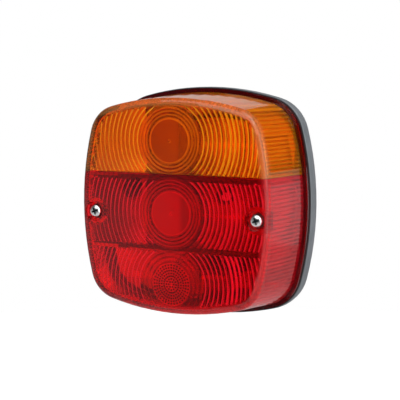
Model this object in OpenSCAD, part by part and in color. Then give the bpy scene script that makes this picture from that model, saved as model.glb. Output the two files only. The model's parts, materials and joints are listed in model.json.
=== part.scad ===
/* [Lens outline] */
// Width of the lens at its front face
face_w = 92; // [89:0.5:95]
// Height of the lens at its front face
face_h = 92.4; // [89.4:0.5:95.4]
// Radius of the bowed left and right sides
side_r = 124; // [116:1:136]
// Radius of the bowed top and bottom
top_r = 124; // [116:1:136]
// Radius of the four corners
corner_r = 14.4; // [13.4:0.2:16]
// Depth of the lens in front of its flange
lens_depth = 30.1; // [29.5:0.1:34]
// How far the walls widen from the face to the flange
draft = 1.7; // [1.2:0.1:2.2]
// Radius between the face and the walls
edge_r = 2.6; // [2:0.1:3]
// Thickness of the lens walls
wall_t = 2.4; // [2:0.1:2.6]
// Thickness of the face
plate_t = 2.5; // [2.2:0.1:2.8]

/* [Flange and seal] */
// Width of the ledge around the lens
ledge_w = 1.7; // [1.4:0.1:2]
// Thickness of the flange
flange_t = 1.9; // [1.6:0.1:2.4]
// Thickness of the seal under the flange
seal_t = 0.8; // [0.6:0.1:1.4]
// How far the tongue under the flange enters the housing
tongue_l = 2; // [1.5:0.1:2.4]

/* [Housing] */
// Height of the housing wall
body_h = 6.2; // [6:0.1:9]
// How far the housing stands out past the flange
body_lip = 0.6; // [0.4:0.1:1]
// Thickness of the housing wall
body_wall = 3; // [2.8:0.1:3.2]
// Thickness of the floor
floor_t = 2.5; // [2.3:0.1:2.8]
// Distance between the two mounting holes
mount_pitch = 45; // [44:0.5:46]
// Diameter of a mounting hole
mount_hole = 5.5; // [4.5:0.1:6]
// Bore of the cable grommet
cable_bore = 5; // [4:0.2:6]

/* [Colour zones and optics] */
// Height of the amber border above the middle
border_z = 13.6; // [13.4:0.1:14.2]
// Distance from one concentric flute to the next
flute_p = 2.1; // [1.9:0.1:2.6]
// Height of a flute
flute_h = 0.8; // [0.5:0.1:1]
// Radius of the plain disc inside the flutes
disc_r = 9.3; // [8.5:0.1:10.5]
// Distance from one wall rib to the next
rib_p = 1.7; // [1.6:0.1:2.4]
// Depth of the grooves between the wall ribs
rib_h = 0.45; // [0.4:0.05:0.8]

/* [Screws] */
// Distance of a lens screw from the middle
screw_x = 39.6; // [39:0.1:40]
// Height of the lens screws
screw_z = -4; // [-5:0.1:-3.6]
// Radius of a screw head
head_r = 2.8; // [2.5:0.1:3]
// Radius of the well around a screw head
well_r = 4.3; // [3.9:0.1:4.4]
// Depth of the well
well_h = 2.8; // [2.4:0.1:3]

/* [Bulbs and reflector] */
// Gap between a large bulb and the narrower of its two troughs
bulb_gap = 1.15; // [1.1:0.05:1.5]
// Gap between the tail bulb and its trough
small_gap = 3.5; // [3:0.25:4.5]
// Thickness of the reflector
shell_t = 1.6; // [1.2:0.1:1.6]

/* [Hidden] */

// Depths above the back face
flange_d = body_h + seal_t;
ledge_d = flange_d + flange_t;
face_d = ledge_d + lens_depth;
inner_d = face_d - plate_t;
edge_d = face_d - edge_r;

// Distances outside the outline of the face
flange_o = draft + ledge_w;
body_o = flange_o + body_lip;
body_in_o = body_o - body_wall;
wall_in_o = draft - wall_t;

// Bowed outline: arcs of side_r and top_r joined by corners of corner_r
side_cx = face_w / 2 - side_r;
top_cy = face_h / 2 - top_r;
reach_s = side_r - corner_r;
reach_t = top_r - corner_r;
span = norm([side_cx, top_cy]);
along = (reach_s * reach_s - reach_t * reach_t + span * span) / (2 * span);
across = sqrt(reach_s * reach_s - along * along);
corner_x = side_cx - along * side_cx / span - across * top_cy / span;
corner_y = along * top_cy / span - across * side_cx / span;
a_side = atan2(corner_y, corner_x - side_cx);
a_top = atan2(corner_y - top_cy, corner_x);

// Zones behind the face, one above the other
part_lo = -0.2056 * face_h;
part_hi = part_lo + shell_t;
wall_hi = border_z - 0.6;
wall_lo = wall_hi - shell_t;
turn_z = 0.303 * face_h;
brake_z = (part_hi + wall_lo) / 2;
tail_z = -0.3463 * face_h;
turn_r = turn_z - wall_hi;
brake_r = (wall_lo - part_hi) / 2;
tail_r = part_lo - tail_z;
part_top = inner_d - 0.4;
turn_optic = [-2, turn_z - 0.2];
brake_optic = [-1.3, brake_z - 0.1];
tail_optic = [-1.1, tail_z - 1.6];
side_rib_hi = 0.335 * face_h;
low_flutes = 3;
low_h = 0.35;
flute_lean = 0.35;

// Bulb caps and sockets, measured from the tip of the bulb
turn_in = 9;
tail_in = 17.5;
turn_x = turn_in - face_w / 2;
tail_x = face_w / 2 - tail_in;
large_neck = 16.15;
small_neck = 6.5;
cap_r = 7.6;
cap_in_r = 7.1;
cap_u = 3;
cap_end = 17.5;
neck_a = 25;
pin_u = 9.5;
pin_r = 1;
pin_reach = 8.6;
sleeve_in = 7.75;
sleeve_out = 8.4;
sleeve_u = 1.5;
sleeve_l = 13;
plate_th = 1;
socket_w = 17.4;
foot_l = 9;
foot_w = 9.6;
foot_t = 1;
blade_t = 0.6;
block_w = 7;
turn_off = block_w / 2 + 1 - turn_r;
brake_off = brake_r - block_w / 2 - 0.4;
tail_off = tail_r - block_w / 2 - 0.5;
block_t = 4.4;
blade_up = 3;
blade_leg = 10;
tab_w = 6.3;
strip_t = 0.8;
left_cut = turn_x + 21;
right_cut = tail_x - 14.5;
strip_in = 2.8;
strip_over = 7.3;
strip_tab = 10;
strip_x = turn_x + strip_in;
strip_l = tail_x + strip_over - strip_x;
strip_w = 6.4;
strip_w2 = 10.6;
strip_z = tail_z - strip_w2 / 2;
bulb_d = floor_t + strip_t + shell_t + max(turn_r, brake_r, tail_r) + 0.1;
front_gap = 3;
room_r = inner_d - bulb_d - front_gap;
tab_l = min(6, room_r - blade_up);
roof_t = 1.2;
roof_d = bulb_d + blade_up + tab_l + 0.4;
port_r = cap_r + 1.2;
glass_r = min(turn_r - bulb_gap, brake_r - bulb_gap, room_r);
small_glass_r = min(tail_r - small_gap, room_r);
large_l = cap_end + large_neck + glass_r * (1 + sin(neck_a));
large_u = large_l - glass_r + 2;
small_l = cap_end + small_neck + small_glass_r * (1 + sin(neck_a));
small_u = small_l - small_glass_r + 0.5;
rivet_r = 1.4;
rivet_u = 5.2;
rivet_y = 2.9;
rivet_head = 2.1;
rivet_sink = 1.2;
mount_r = 5;
mount_z = wall_lo - mount_r - 0.2;
boss_r = 4;
boss_d = 15;
insert_r = 2.2;
insert_l = 7;
thread_r = 1.5;
hole_gap = 0.2;
washer_t = 0.5;
washer_r = 3.1;
grommet_x = -20;
grommet_in = 7.8;
grommet_z = face_h / 2 - grommet_in;
grommet_r = 4;
grommet_flange = 5.3;
well_d = face_d - well_h;
post_wall = 1.6;
pillar_r = 3.3;
brake_x = pillar_r + blade_t + 0.3 - screw_x;
keep = 0.08;
fine_n = 12;
fine_m = 8;

// Turns plan shapes so that depth above the back runs forward
module stand() {
  rotate([90, 0, 0]) children();
}

// Points along one arc
function arc(cx, cy, r, a0, a1, n) =
  [for (i = [0:n - 1]) [cx + r * cos(a0 + (a1 - a0) * i / n), cy + r * sin(a0 + (a1 - a0) * i / n)]];

// Bowed outline moved out by o, with n and m points to an arc
function outline(o, n, m) = concat(
  arc(side_cx, 0, side_r + o, -a_side, a_side, n),
  arc(corner_x, corner_y, corner_r + o, a_side, a_top, m),
  arc(0, top_cy, top_r + o, a_top, 180 - a_top, n),
  arc(-corner_x, corner_y, corner_r + o, 180 - a_top, 180 - a_side, m),
  arc(-side_cx, 0, side_r + o, 180 - a_side, 180 + a_side, n),
  arc(-corner_x, -corner_y, corner_r + o, 180 + a_side, 180 + a_top, m),
  arc(0, -top_cy, top_r + o, 180 + a_top, 360 - a_top, n),
  arc(corner_x, -corner_y, corner_r + o, 360 - a_top, 360 - a_side, m));

// Solid whose outline at each level is moved out by level[0] at depth level[1]
module loft(levels) {
  k = 4 * (fine_n + fine_m);
  top = len(levels) - 1;
  polyhedron(
    points = [for (l = levels) for (q = outline(l[0], fine_n, fine_m)) [q[0], q[1], l[1]]],
    faces = concat(
      [[for (i = [0:k - 1]) i]],
      [for (j = [0:top - 1]) for (i = [0:k - 1])
        [j * k + i, (j + 1) * k + i, (j + 1) * k + (i + 1) % k, j * k + (i + 1) % k]],
      [[for (i = [k - 1:-1:0]) top * k + i]]));
}

// Straight slab with the bowed outline moved out by o
module slab(o, d0, d1) {
  translate([0, 0, d0]) linear_extrude(d1 - d0) polygon(outline(o, fine_n, fine_m));
}

// Outside of the lens wall and its rounded front edge, over the levels in foot
module lens_outside(foot) {
  loft(concat(foot, [for (a = [0:18:90]) [edge_r * cos(a) - edge_r, edge_d + edge_r * sin(a)]]));
}

// Inside of the lens, open to the back
module lens_cavity() {
  loft([[wall_in_o, 1], [wall_in_o, ledge_d], [-wall_t, inner_d - 0.8]]);
  slab(-wall_t - 0.3, inner_d - 2, inner_d);
}

// Saw of concentric flutes on the back of the face
module flutes(x, z, first, last) {
  n = floor((last - first) / flute_p);
  translate([x, z, inner_d - flute_h])
    rotate_extrude($fn = 72)
      polygon(concat(
        [[first, flute_h + 0.3]],
        [for (i = [0:n - 1]) each [
          [first + i * flute_p, flute_h - keep],
          [first + (i + flute_lean) * flute_p, i < low_flutes ? flute_h - low_h : 0]]],
        [[first + n * flute_p, flute_h - keep], [first + n * flute_p, flute_h + 0.3]]));
}

// Flutes kept to the band of the face between two heights
module flute_band(x, z, lo, hi, first, last) {
  intersection() {
    translate([0, 0, inner_d - flute_h - 1])
      linear_extrude(flute_h + 2)
        intersection() {
          polygon(outline(-wall_t - 0.7, 4, 3));
          translate([-60, lo])
            square([120, hi - lo]);
        }
    flutes(x, z, first, last);
  }
}

// Upright ribs inside a wall, as the grooves between them
module comb(cx, r, lo, hi) {
  n = floor((hi - lo) / rib_p);
  function rib_x(z) = cx + sqrt(r * r - z * z);
  tilt = atan(draft / (inner_d - 0.8 - ledge_d));
  top = inner_d - 1.5;
  translate([cx + r, 0, top])
    rotate([0, 180 - tilt, 0])
      mirror([1, 0, 0])
        translate([-cx - r, 0, 0])
        linear_extrude(top - ledge_d - 6)
          polygon(concat(
            [[rib_x(lo) - 1.5, lo]],
            [for (i = [0:n - 1]) each [
              [rib_x(lo + i * rib_p) + keep, lo + i * rib_p],
              [rib_x(lo + (i + 0.5) * rib_p) + rib_h, lo + (i + 0.5) * rib_p]]],
            [[rib_x(lo + n * rib_p) + keep, lo + n * rib_p],
             [rib_x(lo + n * rib_p) - 1.5, lo + n * rib_p]]));
}

module side_combs(lo, hi) {
  comb(side_cx, side_r - wall_t, lo, hi);
  mirror([1, 0, 0]) comb(side_cx, side_r - wall_t, lo, hi);
}

module top_comb() {
  rotate([0, 0, 90]) comb(top_cy, top_r - wall_t, -28.5, 28.5);
}

// Keeps what lies above or below the amber border
module colour_cut(above) {
  intersection() {
    children();
    translate([-80, above ? border_z : border_z - 100, 0]) cube([160, 100, 80]);
  }
}

module at_screws() {
  translate([screw_x, screw_z, 0]) children();
  translate([-screw_x, screw_z, 0]) children();
}

module at_mounts() {
  translate([mount_pitch / 2, mount_z, 0]) children();
  translate([-mount_pitch / 2, mount_z, 0]) children();
}

module at_turn() {
  translate([turn_x, turn_z, bulb_d]) children();
}

module at_brake() {
  translate([brake_x, brake_z, bulb_d]) children();
}

module at_tail() {
  translate([tail_x, tail_z, bulb_d]) mirror([1, 0, 0]) children();
}

module at_bulbs() {
  at_turn() children();
  at_brake() children();
  at_tail() children();
}

module at_rivets() {
  at_bulbs() {
    translate([rivet_u, rivet_y, -bulb_d]) children();
    translate([rivet_u, -rivet_y, -bulb_d]) children();
  }
}

// Turned shape that lies along the bulb
module along_bulb() {
  rotate([0, 90, 0]) children();
}

// Small cone in the middle of a plain disc
module disc_point(optic) {
  translate([optic[0], optic[1], inner_d - 0.5]) cylinder(r1 = 0.3, r2 = 0.9, h = 0.6, $fn = 24);
}

module lens_red() {
  color([0.75, 0.04, 0.06]) stand() difference() {
    union() {
      difference() {
        union() {
          difference() {
            union() {
              slab(body_in_o - 0.3, flange_d - tongue_l, flange_d + 0.5);
              slab(flange_o, flange_d, ledge_d - 0.3);
              slab(flange_o - 0.3, flange_d + 0.3, ledge_d);
              colour_cut(false) lens_outside([[draft - 0.2, ledge_d - 0.6], [draft, ledge_d]]);
            }
            lens_cavity();
          }
          flute_band(brake_optic[0], brake_optic[1], part_hi + 0.4, wall_lo - 0.6, disc_r, 46);
          flute_band(tail_optic[0], tail_optic[1], -face_h, part_lo - 0.4, disc_r, 48);
        }
        side_combs(-side_rib_hi, border_z - 2.6);
        mirror([0, 1, 0]) top_comb();
      }
      at_screws() {
        translate([0, 0, well_d - 2.8])
          cylinder(r = well_r + post_wall, h = inner_d - well_d + 3.3, $fn = 48);
        translate([0, 0, boss_d + 0.3]) cylinder(r = pillar_r, h = well_d - boss_d - 1, $fn = 48);
      }
      disc_point(brake_optic);
      disc_point(tail_optic);
    }
    at_screws() {
      translate([0, 0, well_d]) cylinder(r = well_r, h = 10, $fn = 48);
      translate([0, 0, ledge_d]) cylinder(r = thread_r + hole_gap, h = 40, $fn = 32);
    }
  }
}

module lens_amber() {
  color([0.95, 0.42, 0.03]) stand() difference() {
    union() {
      difference() {
        colour_cut(true) lens_outside([[draft, ledge_d]]);
        lens_cavity();
      }
      flute_band(turn_optic[0], turn_optic[1], border_z + 0.4, face_h, disc_r, 48);
      disc_point(turn_optic);
    }
    side_combs(border_z + 1.2, side_rib_hi);
    top_comb();
  }
}

module lens_seal() {
  color([0.06, 0.06, 0.07]) stand() difference() {
    slab(flange_o + body_lip / 2, body_h, flange_d);
    slab(body_in_o + 0.1, body_h - 1, flange_d + 1);
  }
}

module housing() {
  color([0.47, 0.51, 0.53]) stand() difference() {
    union() {
      difference() {
        loft([[body_o - 0.5, 0], [body_o, body_h / 2], [body_o, body_h - 0.2], [body_o - 0.2, body_h]]);
        slab(body_in_o, floor_t, body_h + 1);
      }
      at_screws() cylinder(r = boss_r, h = boss_d, $fn = 48);
      at_mounts() cylinder(r = mount_r, h = floor_t + 0.6, $fn = 48);
    }
    at_screws() translate([0, 0, boss_d - insert_l]) cylinder(r = insert_r, h = insert_l + 1, $fn = 32);
    at_screws() translate([0, 0, 4]) cylinder(r = thread_r + hole_gap, h = boss_d, $fn = 32);
    at_mounts() translate([0, 0, -1]) cylinder(d = mount_hole, h = 10, $fn = 48);
    at_rivets() translate([0, 0, -1]) cylinder(r = rivet_r, h = 10, $fn = 32);
    at_rivets() translate([0, 0, -1]) cylinder(r = rivet_head + 0.3, h = rivet_sink + 1, $fn = 32);
    translate([grommet_x, grommet_z, -1]) cylinder(r = grommet_r, h = 10, $fn = 48);
  }
}

// Section across the three troughs and the two walls between them
function trough(z, r, a0, a1) =
  [for (i = [0:20]) [z + r * cos(a0 + (a1 - a0) * i / 20), bulb_d + r * sin(a0 + (a1 - a0) * i / 20)]];

// Roof over a socket and the end wall that its bulb comes through, with the trough rounded to r
module socket_roof(lo, hi, z, r) {
  translate([left_cut - 60, lo, roof_d]) cube([60, hi - lo, roof_t]);
  difference() {
    translate([left_cut, 0, 0]) rotate([90, 0, 90]) translate([0, 0, -roof_t])
      linear_extrude(roof_t)
        polygon(concat(trough(z, r, 180, 360), [[z + r, roof_d + roof_t], [z - r, roof_d + roof_t]]));
    translate([left_cut - 10, z, bulb_d]) along_bulb() cylinder(r = port_r, h = 20, $fn = 64);
  }
}

module reflector() {
  tail_a = acos(tail_r / (tail_r + shell_t));
  brake_a = acos(brake_r / (brake_r + shell_t));
  turn_a = acos(turn_r / (turn_r + shell_t));
  color([0.82, 0.82, 0.8]) stand() difference() {
    intersection() {
      union() {
        difference() {
          rotate([90, 0, 90])
            translate([0, 0, -50])
              linear_extrude(100)
                polygon(concat(
                  trough(tail_z, tail_r, 218, 360),
                  [[part_lo, part_top], [part_hi, part_top]],
                  trough(brake_z, brake_r, 180, 360),
                  [[wall_lo, part_top], [wall_hi, part_top]],
                  trough(turn_z, turn_r, 180, 328),
                  trough(turn_z, turn_r + shell_t, 328, 180 + turn_a),
                  [[wall_hi, floor_t], [wall_lo, floor_t]],
                  trough(brake_z, brake_r + shell_t, 360 - brake_a, 180 + brake_a),
                  [[part_hi, floor_t], [part_lo, floor_t]],
                  trough(tail_z, tail_r + shell_t, 360 - tail_a, 218)));
          translate([left_cut - 60, wall_hi - 0.1, 0]) cube([60, 60, 50]);
          translate([left_cut - 60, part_hi - 0.1, 0]) cube([60, wall_lo - part_hi + 0.2, 50]);
          translate([right_cut, -60, 0]) cube([60, 60 + part_lo + 0.1, 50]);
        }
        socket_roof(wall_hi - shell_t / 2, face_h, turn_z, turn_r + shell_t / 2);
        socket_roof(part_hi - shell_t / 2, wall_lo + shell_t / 2, brake_z, brake_r + shell_t / 2);
      }
      slab(-wall_t - 1, 0, face_d);
    }
    translate([strip_x - 0.8, -25, 0]) cube([strip_w + 1.6, 45, floor_t + strip_t + 0.5]);
    at_screws() cylinder(r = well_r + post_wall + 0.3, h = 60, $fn = 48);
    at_mounts() cylinder(r = mount_r + 0.15, h = 60, $fn = 48);
  }
}

module lens_screws() {
  color([0.8, 0.82, 0.84]) stand() at_screws() difference() {
    translate([0, 0, well_d + washer_t]) union() {
      rotate_extrude($fn = 48)
        polygon([[0, 0], [head_r, 0], [head_r, 0.9], [head_r - 0.2, 1.35], [head_r - 0.7, 1.75],
                 [head_r - 1.4, 1.95], [0, 2.05]]);
      translate([0, 0, -well_d - washer_t + boss_d - insert_l + 0.5])
        cylinder(r = thread_r, h = well_d + washer_t - boss_d + insert_l, $fn = 32);
    }
    for (a = [20, 110])
      translate([0, 0, well_d + washer_t + 0.9]) rotate([0, 0, a])
        translate([-1.6, -0.4, 0]) cube([3.2, 0.8, 3]);
  }
}

module screw_seals() {
  color([0.06, 0.06, 0.07]) stand() at_screws() translate([0, 0, well_d]) difference() {
    cylinder(r = washer_r, h = washer_t, $fn = 48);
    translate([0, 0, -1]) cylinder(r = thread_r, h = 5, $fn = 32);
  }
}

module thread_inserts() {
  color([0.8, 0.65, 0.3]) stand() at_screws() translate([0, 0, boss_d - insert_l]) difference() {
    cylinder(r = insert_r, h = insert_l, $fn = 32);
    translate([0, 0, -1]) cylinder(r = thread_r, h = 20, $fn = 32);
  }
}

module cable_grommet() {
  color([0.06, 0.06, 0.07]) stand() translate([grommet_x, grommet_z, 0]) difference() {
    union() {
      translate([0, 0, 0.2]) cylinder(r = grommet_r, h = floor_t, $fn = 48);
      translate([0, 0, floor_t]) cylinder(r = grommet_flange, h = 1.5, $fn = 48);
    }
    translate([0, 0, -1]) cylinder(d = cable_bore, h = 10, $fn = 32);
  }
}

module earth_strip() {
  color([0.75, 0.6, 0.28]) stand() translate([0, 0, floor_t]) difference() {
    union() {
      translate([strip_x, strip_z, 0]) cube([strip_w, turn_z + strip_w2 / 2 - strip_z, strip_t]);
      translate([strip_x, strip_z, 0]) cube([strip_l, strip_w2, strip_t]);
      translate([strip_x + strip_l - strip_t, tail_z - tab_w / 2, 0])
        cube([strip_t, tab_w, strip_tab]);
    }
    translate([0, 0, -floor_t]) at_rivets() cylinder(r = rivet_r, h = 10, $fn = 32);
  }
}

// Sleeve with two pin slots on an upright plate with a foot
module socket() {
  foot_z = floor_t + strip_t - bulb_d;
  difference() {
    union() {
      translate([sleeve_u, 0, 0]) along_bulb() cylinder(r = sleeve_out, h = sleeve_l, $fn = 64);
      translate([sleeve_u, -socket_w / 2, foot_z]) cube([plate_th, socket_w, socket_w / 2 - foot_z]);
      translate([sleeve_u, -foot_w / 2, foot_z]) cube([foot_l, foot_w, foot_t]);
    }
    translate([sleeve_u + plate_th, 0, 0]) along_bulb() cylinder(r = sleeve_in, h = 40, $fn = 64);
    along_bulb() cylinder(r = 6.6, h = 40, $fn = 64);
    translate([pin_u - pin_r, -20, -pin_r - 0.1]) cube([40, 40, 2 * pin_r + 0.2]);
    for (s = [-1, 1])
      translate([rivet_u, s * rivet_y, foot_z - 1]) cylinder(r = rivet_r, h = 4, $fn = 32);
  }
}

module turn_socket() {
  color([0.72, 0.72, 0.7]) stand() at_turn() socket();
}

module brake_socket() {
  color([0.72, 0.72, 0.7]) stand() at_brake() socket();
}

module tail_socket() {
  color([0.72, 0.72, 0.7]) stand() at_tail() socket();
}

// Live contact: an arm on the bulb tip, a leg on the block and a push-on tab
module contact(off) {
  difference() {
    union() {
      translate([-blade_t, min(-4, off - block_w / 2), -blade_up])
        cube([blade_t, max(4, off + block_w / 2) - min(-4, off - block_w / 2), 2 * blade_up]);
      translate([-blade_t, off - block_w / 2, -blade_leg]) cube([blade_t, block_w, blade_leg]);
      translate([-blade_t, off - tab_w / 2, 0]) cube([blade_t, tab_w, blade_up + tab_l]);
    }
    translate([-1, off, -6.5]) along_bulb() cylinder(r = 1.2, h = 4, $fn = 32);
  }
}

module block(off) {
  difference() {
    translate([-blade_t - block_t, off - block_w / 2, floor_t - bulb_d])
      cube([block_t, block_w, bulb_d - floor_t + blade_up]);
    translate([-blade_t - block_t - 1, off, -6.5]) along_bulb() cylinder(r = 1.2, h = 9, $fn = 32);
  }
}

module block_rivet(off) {
  translate([-blade_t - block_t - 0.8, off, -6.5]) along_bulb() {
    cylinder(r = 2, h = 0.8, $fn = 32);
    cylinder(r = 1.2, h = blade_t + block_t + 1.4, $fn = 32);
    translate([0, 0, blade_t + block_t + 0.8]) cylinder(r = 2, h = 0.7, $fn = 32);
  }
}

module turn_contact() {
  color([0.78, 0.6, 0.3]) stand() at_turn() contact(turn_off);
}

module brake_contact() {
  color([0.78, 0.6, 0.3]) stand() at_brake() contact(brake_off);
}

module tail_contact() {
  color([0.78, 0.6, 0.3]) stand() at_tail() contact(tail_off);
}

module contact_blocks() {
  color([0.1, 0.1, 0.1]) stand() {
    at_turn() block(turn_off);
    at_brake() block(brake_off);
    at_tail() block(tail_off);
  }
}

module contact_rivets() {
  color([0.7, 0.7, 0.7]) stand() {
    at_turn() block_rivet(turn_off);
    at_brake() block_rivet(brake_off);
    at_tail() block_rivet(tail_off);
  }
}

module socket_rivets() {
  top = floor_t + strip_t + foot_t;
  color([0.7, 0.7, 0.7]) stand() at_rivets() {
    translate([0, 0, rivet_sink - 1]) cylinder(r = rivet_head, h = 1, $fn = 32);
    translate([0, 0, rivet_sink - 1]) cylinder(r = rivet_r, h = top - rivet_sink + 1.5, $fn = 32);
    translate([0, 0, top]) cylinder(r = rivet_head, h = 0.9, $fn = 32);
  }
}

// Bulb glass of radius r and overall length l from the tip
module glass(r, l) {
  w = 0.8;
  a = [for (i = [0:10]) -neck_a + (90 + neck_a) * i / 10];
  along_bulb() rotate_extrude($fn = 64)
    polygon(concat(
      [[cap_in_r, cap_u + 3], [cap_in_r, cap_end + 1]],
      [for (t = a) [r * cos(t), l - r + r * sin(t)]],
      [for (i = [10:-1:0]) [(r - w) * cos(a[i]), l - r + (r - w) * sin(a[i])]],
      [[cap_in_r - w, cap_end + 1.2], [cap_in_r - w, cap_u + 3]]));
}

module cap() {
  along_bulb() difference() {
    translate([0, 0, cap_u]) cylinder(r = cap_r, h = cap_end - cap_u, $fn = 64);
    translate([0, 0, cap_u + 0.5]) cylinder(r = cap_in_r, h = 40, $fn = 64);
    cylinder(r = 4.5, h = 40, $fn = 48);
  }
  for (s = [0, 180])
    rotate([s, 0, 0]) translate([pin_u, 0, 0]) rotate([-90, 0, 0])
      translate([0, 0, cap_in_r + 0.2]) cylinder(r = pin_r, h = pin_reach - cap_in_r - 0.2, $fn = 32);
}

module bulb_foot() {
  along_bulb() rotate_extrude($fn = 48)
    polygon([[0, 0], [1.8, 0], [2.3, 0.5], [2.3, 1.4], [4.5, 2.6], [4.5, cap_u + 0.5], [0, cap_u + 0.5]]);
}

module filament(u) {
  for (s = [-1, 1])
    translate([cap_u + 0.5, s * 2.2, 0]) along_bulb() cylinder(r = 0.4, h = u - cap_u, $fn = 16);
  translate([cap_u + 0.5, 0, 0]) along_bulb() cylinder(r = 3.2, h = 8, $fn = 32);
  translate([u, 0, 0]) rotate([90, 0, 0]) translate([0, 0, -3.2]) cylinder(r = 0.7, h = 6.4, $fn = 16);
}

module turn_bulb_glass() {
  color([0.9, 0.93, 0.95, 0.5]) stand() at_turn() glass(glass_r, large_l);
}

module brake_bulb_glass() {
  color([0.9, 0.93, 0.95, 0.5]) stand() at_brake() glass(glass_r, large_l);
}

module tail_bulb_glass() {
  color([0.9, 0.93, 0.95, 0.5]) stand() at_tail() glass(small_glass_r, small_l);
}

module turn_bulb_cap() {
  color([0.85, 0.72, 0.4]) stand() at_turn() cap();
}

module brake_bulb_cap() {
  color([0.85, 0.72, 0.4]) stand() at_brake() cap();
}

module tail_bulb_cap() {
  color([0.85, 0.72, 0.4]) stand() at_tail() cap();
}

module turn_bulb_foot() {
  color([0.12, 0.12, 0.12]) stand() at_turn() bulb_foot();
}

module brake_bulb_foot() {
  color([0.12, 0.12, 0.12]) stand() at_brake() bulb_foot();
}

module tail_bulb_foot() {
  color([0.12, 0.12, 0.12]) stand() at_tail() bulb_foot();
}

module turn_filament() {
  color([0.6, 0.6, 0.62]) stand() at_turn() filament(large_u);
}

module brake_filament() {
  color([0.6, 0.6, 0.62]) stand() at_brake() filament(large_u);
}

module tail_filament() {
  color([0.6, 0.6, 0.62]) stand() at_tail() filament(small_u);
}

housing();
lens_seal();
lens_red();
lens_amber();
reflector();
lens_screws();
screw_seals();
thread_inserts();
cable_grommet();
earth_strip();
turn_socket();
brake_socket();
tail_socket();
turn_contact();
brake_contact();
tail_contact();
contact_blocks();
contact_rivets();
socket_rivets();
turn_bulb_glass();
turn_bulb_cap();
turn_bulb_foot();
turn_filament();
brake_bulb_glass();
brake_bulb_cap();
brake_bulb_foot();
brake_filament();
tail_bulb_glass();
tail_bulb_cap();
tail_bulb_foot();
tail_filament();
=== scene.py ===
import json
import math

import bmesh
import bpy
from mathutils import Matrix, Vector
from mathutils.bvhtree import BVHTree


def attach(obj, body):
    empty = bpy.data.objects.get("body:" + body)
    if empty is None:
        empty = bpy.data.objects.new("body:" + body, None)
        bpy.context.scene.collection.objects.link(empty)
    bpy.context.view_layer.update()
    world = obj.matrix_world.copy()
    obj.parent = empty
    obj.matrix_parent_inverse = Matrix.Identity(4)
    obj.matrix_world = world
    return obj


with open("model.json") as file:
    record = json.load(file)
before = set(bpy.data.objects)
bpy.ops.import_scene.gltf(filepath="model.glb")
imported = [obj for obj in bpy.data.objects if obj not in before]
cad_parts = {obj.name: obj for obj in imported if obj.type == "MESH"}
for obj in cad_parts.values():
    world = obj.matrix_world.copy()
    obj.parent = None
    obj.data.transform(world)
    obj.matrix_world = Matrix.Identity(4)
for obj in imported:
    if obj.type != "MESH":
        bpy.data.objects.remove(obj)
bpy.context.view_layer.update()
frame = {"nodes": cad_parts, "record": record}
NODES = frame["nodes"]


# ---------------------------------------------------------------- places on the lamp, in metres
# centres of the lens discs of the three windows, as X and Z
TURN = (-0.0020, 0.0278)
BRAKE = (-0.0013, -0.0031)
TAIL = (-0.0011, -0.0336)
DISC_R = 0.0093
RING_R = 0.0153  # outer edge of the fine rings round a disc
TAIL_TOP = -0.0205  # the flutes below this height circle the disc of the tail window

# lens: the polished face, the flutes on its inside, and the side walls behind them
FACE_Y = -0.0378
FLUTES_Y = -0.0352
WALL_END_Y = -0.0095
END_WALL_Z = 0.0405  # the walls beyond this height are the top and the bottom one
# the painted highlight that makes the rim pale sets in over these spans, outwards and to the front
RIM_OUT = (0.0418, 0.0440)
RIM_FRONT = (-0.0345, -0.0362)
BOW = 0.248  # a side comes in by the square of the distance from its middle over this

# lens: the fine lines that are in the material
DISC_LINE = 0.00022  # half the width of the line round a disc
RING_PITCH = 0.0015
RIB_PITCH = 0.0017
FLUTE_PITCH = 0.0021

# lens screws: the right one, which the left one mirrors
SCREW = (0.0396, -0.004)
SLOT_R = 0.00175
SLOT_Y = (-0.0384, -0.030)
SCREW_REACH = 0.006  # plating further off is that of a socket

# reflector: where painted shade goes, on the front edges of its walls, the roofs over the sockets and the
# right of the tail trough
WALL_TOP = (-0.0352, -0.0358)
WALL_TOP_LEFT = -0.028
ROOF_Y = -0.0295
ROOF_X = (-0.016, -0.030)
STOP_ROOF_Z = (-0.018, 0.012)
TAIL_TROUGH_X = (0.006, 0.016)
TAIL_TROUGH_Z = -0.0225

# dimples on the inside of the disc of the tail window, ring by ring
DIMPLE_COUNTS = (6, 12, 24, 24, 36, 36, 36)
DIMPLE_STEP = 0.0012
DIMPLE_R = 0.00046
DIMPLE_RISE = 0.00012
DIMPLE_DEPTH = 0.75  # as a part of its radius
DIMPLE_START_Y = -0.034


# ---------------------------------------------------------------- materials
ACRYLIC_IOR = 1.49
GLASS_IOR = 1.5
RAMP_STOPS = (0.3, 0.7)
# sockets of a mix node that mixes colours
MIX_FACTOR, MIX_A, MIX_B, MIX_RESULT = 0, 6, 7, 2

# how cloudy each part of the lens is, where 0 lets all light through
CLOUDY_INSIDE = 0.05
CLOUDY_RING = 0.14
CLOUDY_LINE = 0.25
CLOUDY_RIDGE = 0.30
CLOUDY_END_WALL = 0.26
CLOUDY_RIM_HIGHLIGHT = 0.20
CLOUDY_SMALL_DISC = 0.34
RIB_SWING, RIB_MEAN = 0.5, 0.6
# painted shade: the frost of a disc is thinner at its right, so that its right looks darker
RIGHT_SHADE_SPAN = (0.0030, 0.0065)
RIGHT_SHADE_FROST = 0.35
RIDGE_LEVEL = 0.1
# how much of its own colour each part gets; the lines get theirs as a painted highlight, and the flutes a
# deeper colour that is partly painted shade
CREST_SWING, CREST_MEAN = 0.50, 0.28
RING_DEEP = 0.6
LINES_HIGHLIGHT = 0.8
FROST_ROUGH, INSIDE_ROUGH = 0.18, 0.05
WAVINESS = 0.25

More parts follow.
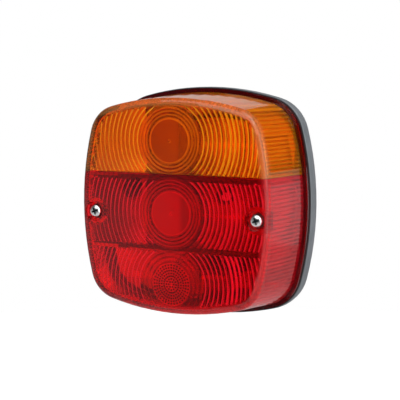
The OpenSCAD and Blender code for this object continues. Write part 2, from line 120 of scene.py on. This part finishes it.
# painted shade on the reflector: its roofs, the right of its tail trough and the front edges of its walls
ROOF_SHADE_COLOUR = (0.07, 0.066, 0.064)
ROOF_SHADE_RISE = (0.35, 1.0)
ROOF_LEVEL, STOP_ROOF_MORE = 0.35, 0.55
TROUGH_SHADE_COLOUR = (0.12, 0.115, 0.115)
TROUGH_SHADE = 0.8
WALL_TOP_SHADE_COLOUR = (0.16, 0.16, 0.16)
SOCKET_COLOUR = (0.30, 0.30, 0.31)
# painted shade in the cross slots of the lens screws
SLOT_SHADE_COLOUR = (0.02, 0.03, 0.035)
SLOT_ROUGH = 0.3


class Nodes:
    """A node tree with small helpers for its nodes."""

    def __init__(self, owner):
        owner.use_nodes = True
        self.tree = owner.node_tree
        self.tree.nodes.clear()

    def node(self, kind, **props):
        n = self.tree.nodes.new(kind)
        for k, v in props.items():
            setattr(n, k, v)
        return n

    def link(self, a, b):
        self.tree.links.new(a, b)

    def math(self, op, *values):
        n = self.node("ShaderNodeMath", operation=op)
        for i, v in enumerate(values):
            if isinstance(v, (int, float)):
                n.inputs[i].default_value = v
            else:
                self.link(v, n.inputs[i])
        return n.outputs[0]

    def chain(self, op, first, *others):
        for v in others:
            first = self.math(op, first, v)
        return first

    def mul(self, *values):
        return self.chain("MULTIPLY", *values)

    def add(self, *values):
        return self.chain("ADD", *values)

    def highest(self, *values):
        return self.chain("MAXIMUM", *values)

    def above(self, a, b):
        return self.math("GREATER_THAN", a, b)

    def below(self, a, b):
        return self.math("LESS_THAN", a, b)

    def between(self, a, lo, hi):
        return self.mul(self.above(a, lo), self.below(a, hi))

    def rest(self, a):
        return self.math("SUBTRACT", 1.0, a)

    def step(self, value, span, to=(0.0, 1.0), curve="SMOOTHSTEP"):
        """From one level to another over a span of the value, and level outside it."""
        n = self.node("ShaderNodeMapRange", interpolation_type=curve)
        for k, v in zip(("From Min", "From Max", "To Min", "To Max"), (*span, *to)):
            n.inputs[k].default_value = v
        self.link(value, n.inputs["Value"])
        return n.outputs["Result"]

    def xyz(self, vector):
        n = self.node("ShaderNodeSeparateXYZ")
        self.link(vector, n.inputs[0])
        return n.outputs["X"], n.outputs["Y"], n.outputs["Z"]


class Mat(Nodes):
    """A material with one shader, patterned by where a point is on the object."""

    def __init__(self, name, **values):
        self.mat = bpy.data.materials.new(name)
        super().__init__(self.mat)
        self.out = self.node("ShaderNodeOutputMaterial")
        self.bsdf = self.node("ShaderNodeBsdfPrincipled")
        self.link(self.bsdf.outputs[0], self.out.inputs["Surface"])
        self.place = self.node("ShaderNodeTexCoord").outputs["Object"]
        for k, v in values.items():
            self.bsdf.inputs[k.replace("_", " ")].default_value = v

    def noise(self, scale, detail):
        n = self.node("ShaderNodeTexNoise")
        n.inputs["Scale"].default_value = scale
        n.inputs["Detail"].default_value = detail
        self.link(self.place, n.inputs["Vector"])
        return n.outputs["Fac"]

    def ramp(self, fac, dark, light):
        n = self.node("ShaderNodeValToRGB")
        for element, stop, colour in zip(n.color_ramp.elements, RAMP_STOPS, (dark, light)):
            element.position = stop
            element.color = (*colour, 1)
        self.link(fac, n.inputs["Fac"])
        return n.outputs["Color"]

    def blend(self, fac, a, b):
        """Colour a where fac is 0, and the plain colour b where it is 1."""
        n = self.node("ShaderNodeMix", data_type="RGBA")
        self.link(fac, n.inputs[MIX_FACTOR])
        self.link(a, n.inputs[MIX_A])
        n.inputs[MIX_B].default_value = (*b, 1)
        return n.outputs[MIX_RESULT]

    def square(self, a):
        return self.mul(a, a)

    def distance(self, x, z, centre):
        """How far a point is from a centre, seen from the front."""
        dx = self.math("SUBTRACT", x, centre[0])
        dz = self.math("SUBTRACT", z, centre[1])
        return self.math("SQRT", self.add(self.square(dx), self.square(dz)))

    def wave(self, along, pitch):
        return self.math("SINE", self.mul(along, 2 * math.pi / pitch))

    def colour(self, out):
        self.link(out, self.bsdf.inputs["Base Color"])

    def rough(self, out):
        self.link(out, self.bsdf.inputs["Roughness"])

    def rough_noise(self, scale, detail, span):
        return self.step(self.noise(scale, detail), (0.0, 1.0), span, "LINEAR")

    def bump(self, height, strength, depth):
        n = self.node("ShaderNodeBump")
        n.inputs["Strength"].default_value = strength
        n.inputs["Distance"].default_value = depth
        self.link(height, n.inputs["Height"])
        self.link(n.outputs["Normal"], self.bsdf.inputs["Normal"])


def acrylic(name, tints, milky, walls, disc, small=None):
    """Clear tinted moulding, frosted on its disc, ringed round it and paler along its rounded rim; the
    paler rim, rings and line are a painted highlight, the thinner frost at the right of the disc is painted
    shade, and the deeper colour where the flutes are thick is partly painted shade.
    """
    m = Mat(name, IOR=ACRYLIC_IOR)
    x, y, z = m.xyz(m.place)
    tint = m.ramp(m.noise(scale=35, detail=2), tints["dark"], tints["light"])
    # the polished face is clear, and the fluted inside is slightly cloudy
    inner = m.above(y, FACE_Y)
    r = m.distance(x, z, disc)
    past_disc = m.math("SUBTRACT", r, DISC_R)
    frost = m.mul(m.below(r, DISC_R), inner)
    # painted shade: the frost thins towards the right of the disc
    right_shade_frost = m.step(m.math("SUBTRACT", x, disc[0]), RIGHT_SHADE_SPAN, (1.0, RIGHT_SHADE_FROST))
    m.rough(m.add(m.mul(frost, FROST_ROUGH), m.mul(inner, INSIDE_ROUGH),
                  m.rough_noise(scale=220, detail=4, span=(0.01, 0.04))))
    solid = m.add(m.mul(frost, milky, right_shade_frost), m.mul(inner, CLOUDY_INSIDE))
    # a line round the disc, and fine rings between it and the flutes
    ring = m.mul(m.below(r, RING_R), inner)
    line = m.mul(m.below(m.math("ABSOLUTE", past_disc), DISC_LINE), inner)
    ridges = m.mul(m.above(m.wave(past_disc, RING_PITCH), RIDGE_LEVEL), ring, m.rest(frost))
    solid = m.add(solid, m.add(m.mul(ring, CLOUDY_RING), m.mul(line, CLOUDY_LINE)))
    solid = m.add(solid, m.mul(ridges, CLOUDY_RIDGE))
    # ribs on the side walls, of which the top and bottom one are more cloudy
    ribs = m.math("MULTIPLY_ADD", m.wave(z, RIB_PITCH), RIB_SWING * walls, RIB_MEAN * walls)
    end_wall = m.above(m.math("ABSOLUTE", z), END_WALL_Z)
    solid = m.add(solid, m.mul(m.between(y, FLUTES_Y, WALL_END_Y),
                               m.math("MULTIPLY_ADD", end_wall, CLOUDY_END_WALL, ribs)))
    # painted highlight: the rounded rim of the face is made paler than the rest, in cloudiness and in
    # colour
    across = m.math("MULTIPLY_ADD", m.square(z), 1 / BOW, m.math("ABSOLUTE", x))
    upward = m.math("MULTIPLY_ADD", m.square(x), 1 / BOW, m.math("ABSOLUTE", z))
    rim_highlight = m.mul(m.step(m.highest(across, upward), RIM_OUT), m.step(y, RIM_FRONT))
    solid = m.add(solid, m.mul(rim_highlight, CLOUDY_RIM_HIGHLIGHT))
    if small:
        small_r = m.distance(x, z, small)
        solid = m.add(solid, m.mul(m.below(small_r, DISC_R), inner, CLOUDY_SMALL_DISC))
        low = m.below(z, TAIL_TOP)
        r = m.add(m.mul(small_r, low), m.mul(r, m.rest(low)))
    # the plastic is deepest in colour where the flutes are thick, and these deep bands are also painted
    # shade between the flute streaks
    thickness_and_shade = m.wave(m.math("SUBTRACT", r, DISC_R), FLUTE_PITCH)
    thickness_and_shade = m.mul(m.math("MULTIPLY_ADD", thickness_and_shade, CREST_SWING, CREST_MEAN), inner,
                  m.above(r, DISC_R), m.below(y, FLUTES_Y))
    m.link(m.rest(solid), m.bsdf.inputs["Transmission Weight"])
    shade = m.blend(thickness_and_shade, tint, tints["thick_and_shade"])
    shade = m.blend(m.highest(frost, m.mul(ring, RING_DEEP)), shade, tints["deep"])
    # painted highlight: the line round the disc and the fine rings are paler
    shade = m.blend(m.mul(m.highest(line, ridges), LINES_HIGHLIGHT), shade, tints["pale"])
    m.colour(m.blend(rim_highlight, shade, tints["rim_highlight"]))
    m.bump(m.mul(m.noise(scale=60, detail=2), WAVINESS), strength=0.5, depth=0.0004)
    return m.mat


def moulded(name, dark, light, rough=(0.38, 0.55), grain=1800):
    """Opaque moulding with a fine grain."""
    m = Mat(name)
    m.colour(m.ramp(m.noise(scale=90, detail=4), dark, light))
    m.rough(m.rough_noise(scale=300, detail=3, span=rough))
    m.bump(m.noise(scale=grain, detail=3), strength=0.35, depth=0.00005)
    return m.mat


def metal(name, dark, light):
    """Plain metal with faint stains."""
    m = Mat(name, Metallic=1.0)
    m.colour(m.ramp(m.noise(scale=400, detail=4), dark, light))
    m.rough(m.rough_noise(scale=680, detail=3, span=(0.2, 0.35)))
    m.bump(m.noise(scale=1600, detail=3), strength=0.2, depth=0.00003)
    return m.mat


def plating(name):
    """Plating, bright on the two lens screws, with painted shade in their cross slots, and dull on the
    sockets inside.
    """
    m = Mat(name, Metallic=1.0)
    x, y, z = m.xyz(m.place)
    bright = m.ramp(m.noise(scale=400, detail=4), (0.80, 0.81, 0.82), (0.92, 0.93, 0.93))
    r = m.distance(m.math("ABSOLUTE", x), z, SCREW)
    # painted shade: a dark disc over the cross slot of each screw
    slot_shade = m.mul(m.below(r, SLOT_R), m.between(y, *SLOT_Y))
    darker_parts = m.blend(m.above(r, SCREW_REACH), bright, SOCKET_COLOUR)
    m.colour(m.blend(slot_shade, darker_parts, SLOT_SHADE_COLOUR))
    m.rough(m.add(m.mul(slot_shade, SLOT_ROUGH), m.rough_noise(scale=680, detail=3, span=(0.15, 0.28))))
    m.bump(m.noise(scale=1600, detail=3), strength=0.2, depth=0.00003)
    return m.mat


def clear(name):
    """Clear glass of the bulbs."""
    m = Mat(name, Transmission_Weight=1.0, IOR=GLASS_IOR)
    m.colour(m.ramp(m.noise(scale=40, detail=2), (0.95, 0.97, 0.96), (0.99, 1.0, 1.0)))
    m.rough(m.rough_noise(scale=150, detail=2, span=(0.0, 0.02)))
    m.bump(m.noise(scale=50, detail=2), strength=0.15, depth=0.0002)
    return m.mat


def shell(name):
    """Pale glossy reflector, with painted shade on its roofs, in the tail trough and on the front edges of
    its walls.
    """
    m = Mat(name, Metallic=0.6)
    x, y, z = m.xyz(m.place)
    pale = m.ramp(m.noise(scale=70, detail=3), (0.80, 0.79, 0.76), (0.88, 0.87, 0.85))
    # painted shade: the roofs are darker at the left, and the one behind the stop window most of all
    roof_shade = m.mul(m.step(x, ROOF_X, ROOF_SHADE_RISE, "LINEAR"), m.below(y, ROOF_Y))
    level = m.math("MULTIPLY_ADD", m.between(z, *STOP_ROOF_Z), STOP_ROOF_MORE, ROOF_LEVEL)
    roof_shade = m.mul(roof_shade, m.mul(level, m.above(z, STOP_ROOF_Z[0])))
    # painted shade on the right of the tail trough
    trough_shade = m.mul(m.step(x, TAIL_TROUGH_X, (0.0, TROUGH_SHADE)), m.below(z, TAIL_TROUGH_Z))
    # painted shade on the front edges of the walls
    wall_edge_shade = m.mul(m.step(y, WALL_TOP), m.above(x, WALL_TOP_LEFT))
    darker_parts = m.blend(trough_shade, m.blend(roof_shade, pale, ROOF_SHADE_COLOUR), TROUGH_SHADE_COLOUR)
    m.colour(m.blend(wall_edge_shade, darker_parts, WALL_TOP_SHADE_COLOUR))
    m.rough(m.rough_noise(scale=200, detail=3, span=(0.18, 0.30)))
    m.bump(m.noise(scale=260, detail=3), strength=0.25, depth=0.0001)
    return m.mat


def dimple_shade_look(name):
    """The red of the lens on a dimple, darkened as painted shade where the dimple bends the light away."""
    m = Mat(name, IOR=ACRYLIC_IOR, Transmission_Weight=0.35)
    m.colour(m.ramp(m.noise(scale=300, detail=2), (0.08, 0.001, 0.003), (0.16, 0.002, 0.005)))
    m.rough(m.rough_noise(scale=220, detail=4, span=(0.06, 0.12)))
    return m.mat


# tints: the pale one is a painted highlight on the fine rings and the line round the disc, the rim one a
# painted highlight along the rounded rim, and the thick one both the deeper colour of thick plastic and
# painted shade between the flute streaks
RED = {
    "dark": (0.95, 0.003, 0.013),
    "light": (0.99, 0.005, 0.021),
    "deep": (0.90, 0.016, 0.030),
    "pale": (0.95, 0.05, 0.06),
    "rim_highlight": (0.92, 0.03, 0.04),
    "thick_and_shade": (0.34, 0.001, 0.006),
}
AMBER = {
    "dark": (0.97, 0.28, 0.002),
    "light": (0.99, 0.33, 0.004),
    "deep": (0.95, 0.19, 0.012),
    "pale": (1.0, 0.45, 0.03),
    "rim_highlight": (1.0, 0.40, 0.12),
    "thick_and_shade": (0.99, 0.17, 0.001),
}
LOOKS = {
    "grey_plastic": moulded("grey_plastic", (0.150, 0.163, 0.178), (0.200, 0.214, 0.232)),
    "black_rubber": moulded("black_rubber", (0.010, 0.010, 0.011), (0.022, 0.022, 0.024),
                            rough=(0.6, 0.8), grain=2500),
    "red_acrylic": acrylic("red_acrylic", RED, milky=0.42, walls=0.28, disc=BRAKE, small=TAIL),
    "amber_acrylic": acrylic("amber_acrylic", AMBER, milky=0.20, walls=0.26, disc=TURN),
    "pale_reflector": shell("pale_reflector"),
    "plated_steel": plating("plated_steel"),
    "brass": metal("brass", (0.62, 0.43, 0.17), (0.80, 0.60, 0.28)),
    "black_phenolic": moulded("black_phenolic", (0.012, 0.010, 0.009), (0.03, 0.025, 0.022),
                              rough=(0.3, 0.5)),
    "clear_glass": clear("clear_glass"),
    "black_glass": moulded("black_glass", (0.006, 0.006, 0.006), (0.014, 0.014, 0.014),
                           rough=(0.05, 0.12), grain=300),
    "filament_wire": metal("filament_wire", (0.30, 0.30, 0.31), (0.46, 0.46, 0.47)),
}

slot_of = {s["node"]: s["material_slot"] for s in frame["record"]["subparts"]}
for name, obj in NODES.items():
    obj.data.materials.clear()
    obj.data.materials.append(LOOKS[slot_of[name]])


def add_object(name, data):
    obj = bpy.data.objects.new(name, data)
    bpy.context.scene.collection.objects.link(obj)
    return obj


# ---------------------------------------------------------------- dimples
def dimples(name, lens, centre):
    """Rays of small round dimples on the inside of a disc, each seated on the lens."""
    tree = BVHTree.FromPolygons([lens.matrix_world @ v.co for v in lens.data.vertices],
                                [p.vertices[:] for p in lens.data.polygons])
    shape = Matrix.Diagonal((DIMPLE_R, DIMPLE_DEPTH * DIMPLE_R, DIMPLE_R, 1))
    bm = bmesh.new()
    for k, count in enumerate(DIMPLE_COUNTS, 1):
        r = k * DIMPLE_STEP
        for i in range(count):
            a = 2 * math.pi * i / count
            start = Vector((centre[0] + r * math.cos(a), DIMPLE_START_Y, centre[1] + r * math.sin(a)))
            hit = tree.ray_cast(start, Vector((0, -1, 0)))[0]
            seat = Matrix.Translation(hit + Vector((0, DIMPLE_RISE, 0)))
            bmesh.ops.create_icosphere(bm, subdivisions=2, radius=1, matrix=seat @ shape)
    mesh = bpy.data.meshes.new(name)
    bm.to_mesh(mesh)
    bm.free()
    for poly in mesh.polygons:
        poly.use_smooth = True
    return add_object(name, mesh)


piece = dimples("tail_dimples", NODES["lens_red"], TAIL)
piece.data.materials.append(dimple_shade_look("red_dimple_shade"))
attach(piece, "root")


# ---------------------------------------------------------------- stage
FLOOR_R = 0.6
FLOOR_Z = -0.16
FLOOR_CORNERS = 96
FLOOR_GLOW = 0.75


def floor_look(name):
    """A floor that keeps its own shading and gets white added where the camera or the glass looks at it."""
    m = Mat(name, Roughness=0.9)
    m.colour(m.ramp(m.noise(scale=6, detail=3), (0.78, 0.78, 0.78), (0.82, 0.82, 0.82)))
    path = m.node("ShaderNodeLightPath")
    seen = m.highest(path.outputs["Is Camera Ray"], path.outputs["Is Transmission Ray"])
    emit = m.node("ShaderNodeEmission")
    m.link(m.mul(seen, FLOOR_GLOW), emit.inputs["Strength"])
    both = m.node("ShaderNodeAddShader")
    m.link(m.bsdf.outputs[0], both.inputs[0])
    m.link(emit.outputs[0], both.inputs[1])
    m.link(both.outputs[0], m.out.inputs["Surface"])
    return m.mat


def disc(name, radius, z, count):
    angles = [2 * math.pi * i / count for i in range(count)]
    corners = [(radius * math.cos(a), radius * math.sin(a), z) for a in angles]
    mesh = bpy.data.meshes.new(name)
    mesh.from_pydata(corners, [], [tuple(range(count))])
    return add_object(name, mesh)


floor = disc("floor", FLOOR_R, FLOOR_Z, FLOOR_CORNERS)
floor.data.materials.append(floor_look("floor_white"))

# The studio is white behind and beside the object and dark in front. Each card is the product of its
# steps: what it goes by, the span in degrees or as a part of 1, and the level at both ends of the span.
CARDS = (
    # backdrop behind the object
    (("facing", (0.62, 0.85), (0.0, 0.52)), ("elevation", (24, 26), (1.0, 0.0))),
    # table to the right and behind, under the horizon
    (("elevation", (-1.0, 4.0), (1.0, 0.0)), ("x", (0.2, 0.4), (0.0, 0.75))),
    # pale card at the right
    (("azimuth", (38, 52), (0.0, 1.0)), ("azimuth", (95, 110), (1.0, 0.0)),
     ("elevation", (18, 34), (0.7, 0.0))),
    # pale card low at the left
    (("azimuth", (-38, -26.5), (1.0, 0.0)), ("azimuth", (-95, -75), (0.0, 1.0)),
     ("elevation", (-6.5, -3.0), (0.6, 0.14)), ("elevation", (12, 25), (1.0, 0.0))),
)
BETWEEN_CARDS = 0.025
ROOM_FACING, ROOM_LEVEL = (-0.2, 0.4), (0.95, 1.0)
AWAY_FROM_CAMERA = (-0.49, 0.87)  # X and Y of the way the camera looks
WHITE = (1, 1, 1, 1)
DAYLIGHT = (0.97, 0.98, 1.0, 1)


def background(nodes, colour, strength):
    n = nodes.node("ShaderNodeBackground")
    n.inputs["Color"].default_value = colour
    if isinstance(strength, float):
        n.inputs["Strength"].default_value = strength
    else:
        nodes.link(strength, n.inputs["Strength"])
    return n.outputs[0]


def studio(name):
    """A world that is white to the camera, a pale room through the lens and a few cards elsewhere."""
    world = bpy.data.worlds.new(name)
    w = Nodes(world)
    out = w.node("ShaderNodeOutputWorld")
    path = w.node("ShaderNodeLightPath")
    x, y, z = w.xyz(w.node("ShaderNodeTexCoord").outputs["Generated"])
    go_by = {
        "x": x,
        "azimuth": w.mul(w.math("ARCTAN2", x, w.mul(y, -1.0)), 180 / math.pi),
        "elevation": w.mul(w.math("ARCSINE", z), 180 / math.pi),
        "facing": w.add(w.mul(x, AWAY_FROM_CAMERA[0]), w.mul(y, AWAY_FROM_CAMERA[1])),
    }
    cards = [w.mul(*[w.step(go_by[what], span, to) for what, span, to in steps]) for steps in CARDS]
    level = w.add(w.highest(*cards), BETWEEN_CARDS)
    # rays that come out of the lens see a pale room all round
    room = w.step(go_by["facing"], ROOM_FACING, ROOM_LEVEL)
    clear_ray = path.outputs["Is Transmission Ray"]
    level = w.add(w.mul(level, w.rest(clear_ray)), w.mul(room, clear_ray))
    mix = w.node("ShaderNodeMixShader")
    w.link(path.outputs["Is Camera Ray"], mix.inputs[0])
    w.link(background(w, DAYLIGHT, level), mix.inputs[1])
    w.link(background(w, WHITE, 1.0), mix.inputs[2])
    w.link(mix.outputs[0], out.inputs["Surface"])
    return world


bpy.context.scene.world = studio("studio")

# name, azimuth and elevation in degrees, distance and size in metres, power in watts
LAMPS = (
    ("key", 8, 45, 1.0, (1.5, 1.2), 9),
    ("side", 60, 12, 1.2, (1.5, 1.2), 6),
    ("low", 30, -28, 1.0, (0.8, 0.4), 3),
    ("top", 70, 62, 1.0, (0.7, 0.7), 3),
)


def toward(azimuth, elevation):
    """The direction from the object to a point on the sphere round it."""
    a, e = math.radians(azimuth), math.radians(elevation)
    return Vector((math.sin(a) * math.cos(e), -math.cos(a) * math.cos(e), math.sin(e)))


def aim(obj, location, back):
    obj.location = location
    obj.rotation_mode = "QUATERNION"
    obj.rotation_quaternion = (-back).to_track_quat("-Z", "Y")


for name, azimuth, elevation, distance, size, power in LAMPS:
    lamp = bpy.data.lights.new(name, "AREA")
    lamp.shape = "RECTANGLE"
    lamp.size, lamp.size_y = size
    lamp.energy = power
    back = toward(azimuth, elevation)
    aim(add_object(name, lamp), back * distance, back)

# ---------------------------------------------------------------- camera
CAMERA_AZ, CAMERA_EL = 29.5, 5.82
CAMERA_DISTANCE = 0.5796
CAMERA_LENS = 119.6
CAMERA_SENSOR = 36
CAMERA_CLIP = (0.01, 20)
LAMP_MIDDLE = Vector((0, -0.0196, 0))
SHIFT_RIGHT, SHIFT_UP = 0.00254, 0.00118

back = toward(CAMERA_AZ, CAMERA_EL)
right = Vector((math.cos(math.radians(CAMERA_AZ)), math.sin(math.radians(CAMERA_AZ)), 0))
target = LAMP_MIDDLE + right * SHIFT_RIGHT + back.cross(right) * SHIFT_UP
camera = bpy.data.cameras.new("camera")
camera.sensor_width = CAMERA_SENSOR
camera.lens = CAMERA_LENS
camera.clip_start, camera.clip_end = CAMERA_CLIP
camera_obj = add_object("camera", camera)
aim(camera_obj, target + back * CAMERA_DISTANCE, back)
bpy.context.scene.camera = camera_obj
bpy.context.scene.view_settings.view_transform = "Standard"
